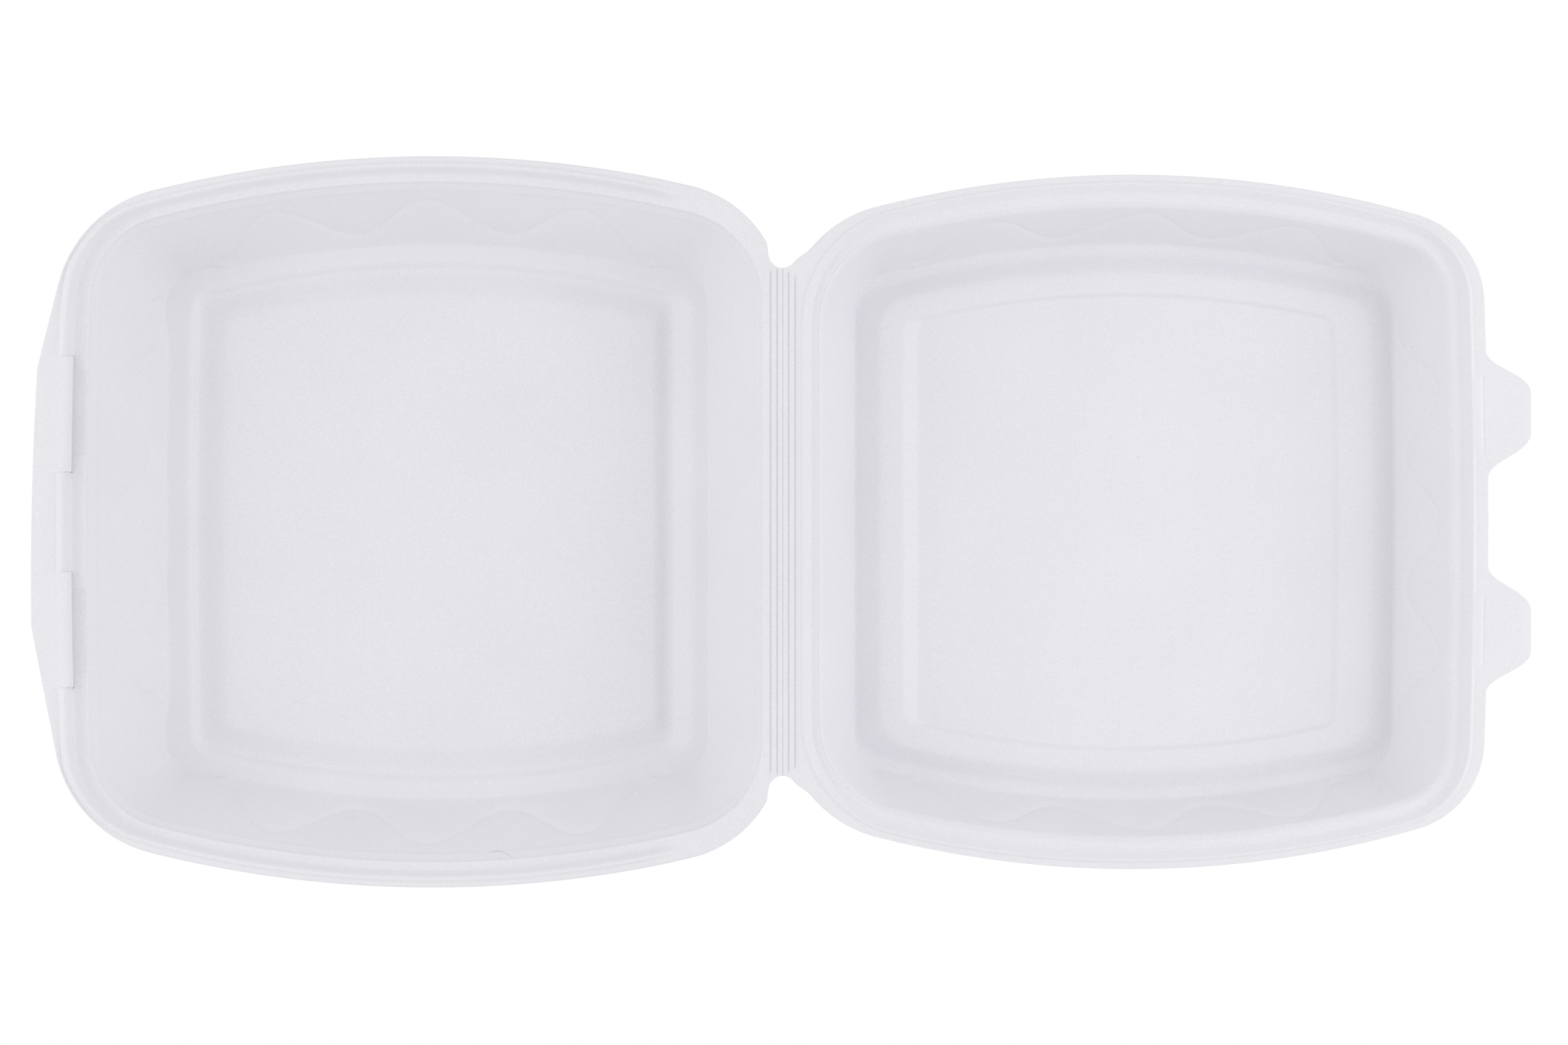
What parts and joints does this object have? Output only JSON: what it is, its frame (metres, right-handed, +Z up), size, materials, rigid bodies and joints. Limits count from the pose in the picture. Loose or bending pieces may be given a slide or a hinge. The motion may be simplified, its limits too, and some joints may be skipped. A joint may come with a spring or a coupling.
{
  "type": "hinged foam food container",
  "caption": "Moulded foam clamshell food container, lying open: a tray and a lid joined by a pressed fold, with latch tabs that enter slits in the tray's front.",
  "frame": {"origin": "on the table under the middle of the fold, which is the centre of the box that the open container fills", "axes": "+X from the tray across the fold to the lid, +Y along the fold, +Z up, out of the open cavities"},
  "size_m": [0.4826, 0.2346, 0.046],
  "materials": {
    "foam": "white expanded polystyrene foam with a fine matte skin"
  },
  "bodies": {
    "tray": {"tray": "foam"},
    "lid": {"lid": "foam"}
  },
  "joints": [
    {"name": "lid_fold", "type": "hinge", "parent": "tray", "child": "lid", "pos_m": [0, 0, 0.04115], "axis": [0, -1, 0], "range_deg": [0, 182.35]}
  ]
}
